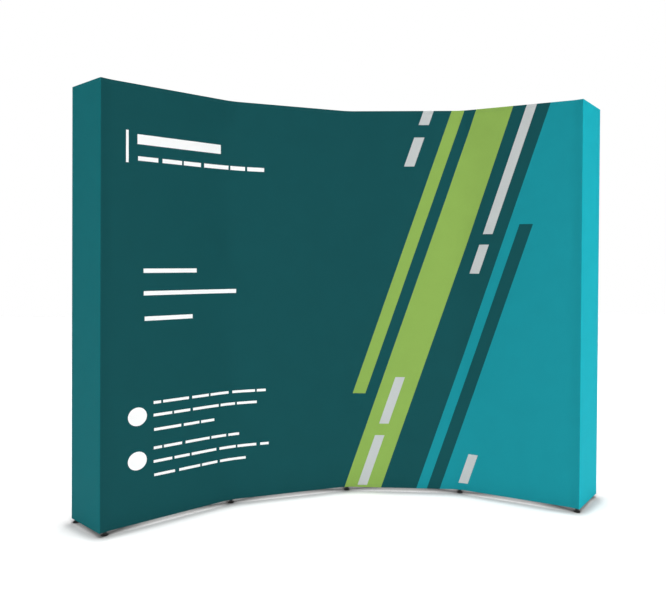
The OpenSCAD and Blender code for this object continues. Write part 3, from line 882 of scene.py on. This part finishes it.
def dyed_and_loop_shaded(tree, spot, colour, loops):
    """The colour with a faint cloudiness, as dye takes on knit, and painted shade and light from the
    knit's bump: a little darker between loops and lighter on them.
    """
    cloud = add_node(tree, "TexNoise", {"Vector": spot, "Scale": CLOUDS, "Detail": 5.0}).outputs["Fac"]
    # painted shade and light: the colour follows the knit's bump, darker in its hollows
    shade = maths(tree, "MULTIPLY", about_one(tree, cloud, CLOUDY), about_one(tree, loops, LOOP_SHADE))
    sockets = {"Factor": 1.0, "A": colour, "B": shade}
    return add_node(tree, "Mix", sockets, data_type="RGBA", blend_type="MULTIPLY").outputs["Result"]


def raise_surface(tree, shader, height, depth, strength):
    """A bump: height from 0 to 1 stands for depth metres."""
    bump = add_node(tree, "Bump", {"Height": height, "Distance": depth, "Strength": strength})
    tree.links.new(bump.outputs["Normal"], shader.inputs["Normal"])


# %% Colours over the cloth
def printed_colour(tree, along, height):
    """The whole print, from one flap to the other."""
    sheared = maths(tree, "MULTIPLY_ADD", height, -LEAN, along)
    colour = lay(tree, DARK_TEAL, TEAL, maths(tree, "GREATER_THAN", sheared, TEAL_FIELD))
    for name, ink in (("green", LEAF_GREEN), ("dark", DARK_TEAL), ("grey", PALE_GREY)):
        colour = lay(tree, colour, ink, bars_mask(tree, sheared, height, BARS[name]))
    return lay(tree, colour, WHITE, marks_mask(tree, along, height))


def flap_colour(tree, along, height):
    """The flaps' colours beyond the two corners, and the ends of the panel's colours before them. The
    flaps' colours are the panel's dark teal and teal made lighter, as painted light from the side.
    """
    colour = lay(tree, DARK_TEAL, TEAL, maths(tree, "GREATER_THAN", along, PANEL_LENGTH / 2))
    colour = lay(tree, colour, LEFT_FLAP_LIT_TEAL, maths(tree, "LESS_THAN", along, 0))
    return lay(tree, colour, RIGHT_FLAP_LIT_CYAN, maths(tree, "GREATER_THAN", along, PANEL_LENGTH))


# %% Cloth and thread materials
# painted highlights and shade: the light and dark spots stand for plies catching the light
PLY_GLINTS = 1400.0  # light and dark spots of thread in a metre


def knit(name, colour_of):
    """A knit finish whose colour is worked out from the cloth's own map."""
    material, tree, shader = new_finish(name, DARK_TEAL, roughness=0.85, specular=0.12)
    spot, along, height = cloth_coordinates(tree)
    loops = knit_loops(tree, along, height)
    tree.links.new(dyed_and_loop_shaded(tree, spot, colour_of(tree, along, height), loops), shader.inputs["Base Color"])
    raise_surface(tree, shader, loops, KNIT_DEPTH, KNIT_STRENGTH)
    return material


def ghost_of(colour_of):
    """The bare knit with a little of the print that lies on its other side."""
    return lambda tree, along, height: lay(tree, BARE_KNIT, colour_of(tree, along, height), SHOW_THROUGH)


def sewing_thread():
    """Twisted polyester thread, whose plies catch the light in turn a few times to a stitch. That
    light is painted into its colour as lighter and darker spots.
    """
    teal = paint(40, 92, 98)
    material, tree, shader = new_finish("sewing_thread", teal, roughness=0.55, specular=0.25)
    spot = add_node(tree, "TexCoord").outputs["Object"]
    plies = add_node(tree, "TexNoise", {"Vector": spot, "Scale": PLY_GLINTS, "Detail": 1.0}).outputs["Fac"]
    # painted highlights: a darker and a lighter teal mixed by the ply noise
    tree.links.new(lay(tree, paint(28, 76, 82), paint(58, 112, 118), plies), shader.inputs["Base Color"])
    return material


printed_knit = knit("printed_knit", printed_colour)
flap_knit = knit("flap_knit", flap_colour)
bare_knit = knit("bare_knit", ghost_of(printed_colour))
bare_flap_knit = knit("bare_flap_knit", ghost_of(flap_colour))
loop_tape = knit("loop_tape", lambda tree, along, height: paint(232, 232, 228))
thread = sewing_thread()
print("cloth materials: a printed and a bare knit for panel and flaps, tape and thread")

# %% [markdown]
# ## Dress the cloth and say what it rides on
# The panel is a sheet of cloth, stretched on the hubs, and it comes away with the body called
# graphic, with its tapes and stitches. The flaps' tapes follow the flaps' own bodies, while the
# flaps and their stitches are set in place as they are. Joined into one mesh, cloth, tape and
# stitches could wear only one finish and follow only one body, so they stay separate. Each cloth
# piece hides the hard part it stands for, and the sizes it was cut to are printed.

# %% Cloth pieces, their bodies and their sizes
for piece, front, behind in (
    (panel, printed_knit, bare_knit),
    (left_flap, flap_knit, bare_flap_knit),
    (right_flap, flap_knit, bare_flap_knit),
):
    piece.data.materials.append(front)
    piece.data.materials.append(behind)
for pieces, body in (
    (panel_tapes, "graphic"),
    (side_tapes[LEFT], "left_flap"),
    (side_tapes[RIGHT], "right_flap"),
):
    for piece in pieces:
        piece.data.materials.append(loop_tape)
        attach(piece, body)
for piece in (panel_stitches, *flap_stitches.values()):
    piece.data.materials.append(thread)

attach(panel, "graphic")
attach(panel_stitches, "graphic")
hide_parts("front_panel")
for flap, side, bend, body in (
    (left_flap, LEFT, left_bend, "left_flap"),
    (right_flap, RIGHT, right_bend, "right_flap"),
):
    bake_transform(flap)
    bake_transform(flap_stitches[side])
    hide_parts(body)
print("cloth, flat: %.3f m and two flaps of %.3f m" % (PANEL_LENGTH - 2 * CORNER_ROUND, flap_length))

# %% [markdown]
# ## Finishes of the hard parts
# These parts keep their meshes and only get a material. Unwrapping nearly sixty of them would be
# long work, and mottles and moulding grain have no direction, so their patterns are laid out in
# the object's own space, in metres. The hubs are nylon from a spark-eroded mould, which leaves an
# even grain. The feet are rubber and gather dust, and the pads are fields of tiny hooks.

# %% Plastics, rubber and tape
MOULD_GRAIN, MOULD_RISE = 1800.0, 0.00008  # grains in a metre, and their height in metres
GLOSS_PATCHES = 60.0  # in a metre, as all the patterns below
DUST, DUST_RISE = 140.0, 0.0002
HOOKS, HOOK_RISE = 650.0, 0.0006


def speckle(tree, scale, detail=3.0):
    """Noise in the object's own space, with that many blobs in a metre."""
    spot = add_node(tree, "TexCoord").outputs["Object"]
    return add_node(tree, "TexNoise", {"Vector": spot, "Scale": scale, "Detail": detail}).outputs["Fac"]


def rough_between(tree, shader, pattern, low, high):
    """Roughness runs from low to high as the pattern runs from 0 to 1."""
    spread = add_node(tree, "MapRange", {"Value": pattern, "To Min": low, "To Max": high})
    tree.links.new(spread.outputs["Result"], shader.inputs["Roughness"])


def moulded(name, colour, low, high):
    """Moulded nylon: the fine grain of its mould, and a soft change of gloss over the part."""
    material, tree, shader = new_finish(name, colour, roughness=0.45, specular=0.4)
    rough_between(tree, shader, speckle(tree, GLOSS_PATCHES), low, high)
    raise_surface(tree, shader, speckle(tree, MOULD_GRAIN), MOULD_RISE, strength=0.5)
    return material


def foot_rubber():
    """Rubber pad: dull and dark, with a dusting that lightens it in patches."""
    black = paint(30, 30, 31)
    material, tree, shader = new_finish("foot_rubber", black, roughness=0.85, specular=0.25)
    dust = speckle(tree, DUST, detail=6.0)
    tree.links.new(lay(tree, paint(26, 26, 27), paint(52, 52, 52), dust), shader.inputs["Base Color"])
    raise_surface(tree, shader, dust, DUST_RISE, strength=0.5)
    return material


def hook_pad_tape():
    """Hook tape: a woven base with a field of tiny hooks, drawn as round cells 1.5 mm apart. Each
    hook is painted lighter on top and darker round its foot, as painted shade.
    """
    white = paint(222, 222, 216)
    material, tree, shader = new_finish("hook_pad_tape", white, roughness=0.7, specular=0.25)
    spot = add_node(tree, "TexCoord").outputs["Object"]
    hooks = add_node(tree, "TexVoronoi", {"Vector": spot, "Scale": HOOKS}).outputs["Distance"]
    # painted shade: darker away from each hook's middle, where the bump is low
    tree.links.new(lay(tree, paint(236, 236, 230), paint(168, 168, 162), hooks), shader.inputs["Base Color"])
    raise_surface(tree, shader, maths(tree, "SUBTRACT", 1.0, hooks), HOOK_RISE, strength=0.8)
    return material


# %% [markdown]
# Metal is mostly what it mirrors, so its own colour matters less than its roughness. Drawn and
# anodised tube is satin: one even roughness, with faint patches where hands have polished it.
# Zinc plate is bluer and a little mottled. Fine lines would suit brushed metal, but these are not
# brushed, so plain noise at three scales does it all.

# %% Metals
POLISHED_PATCHES = 14.0
SPARKLE, SPARKLE_RISE = 2600.0, 0.00003
MOTTLE = 320.0


def satin_tube():
    """Anodised tube: a fine sparkle and broad polished patches."""
    silver = paint(164, 167, 172)
    material, tree, shader = new_finish("satin_tube", silver, roughness=0.36, metallic=1.0)
    rough_between(tree, shader, speckle(tree, POLISHED_PATCHES, detail=4.0), low=0.30, high=0.46)
    raise_surface(tree, shader, speckle(tree, SPARKLE, detail=2.0), SPARKLE_RISE, strength=0.4)
    return material


def zinc_steel():
    """Zinc-plated steel: cool grey, mottled from light to dark."""
    grey = paint(150, 155, 163)
    material, tree, shader = new_finish("zinc_steel", grey, roughness=0.34, metallic=1.0)
    mottle = speckle(tree, MOTTLE, detail=4.0)
    colour = lay(tree, paint(128, 133, 142), paint(172, 175, 180), mottle)
    tree.links.new(colour, shader.inputs["Base Color"])
    rough_between(tree, shader, mottle, low=0.26, high=0.44)
    return material


# %% Dress the hard parts
finishes = {
    "black_nylon": moulded("hub_nylon", paint(34, 34, 36), low=0.38, high=0.56),
    "lock_nylon": moulded("lock_nylon", paint(52, 53, 56), low=0.42, high=0.60),
    "rubber": foot_rubber(),
    "hook_tape": hook_pad_tape(),
    "aluminium": satin_tube(),
    "steel": zinc_steel(),
}
dressed = 0
for part in frame["record"]["subparts"]:
    if part["material_slot"] in finishes:
        mesh = frame["nodes"][part["node"]].data
        mesh.materials.clear()
        mesh.materials.append(finishes[part["material_slot"]])
        dressed += 1
print("hard parts dressed:", dressed)
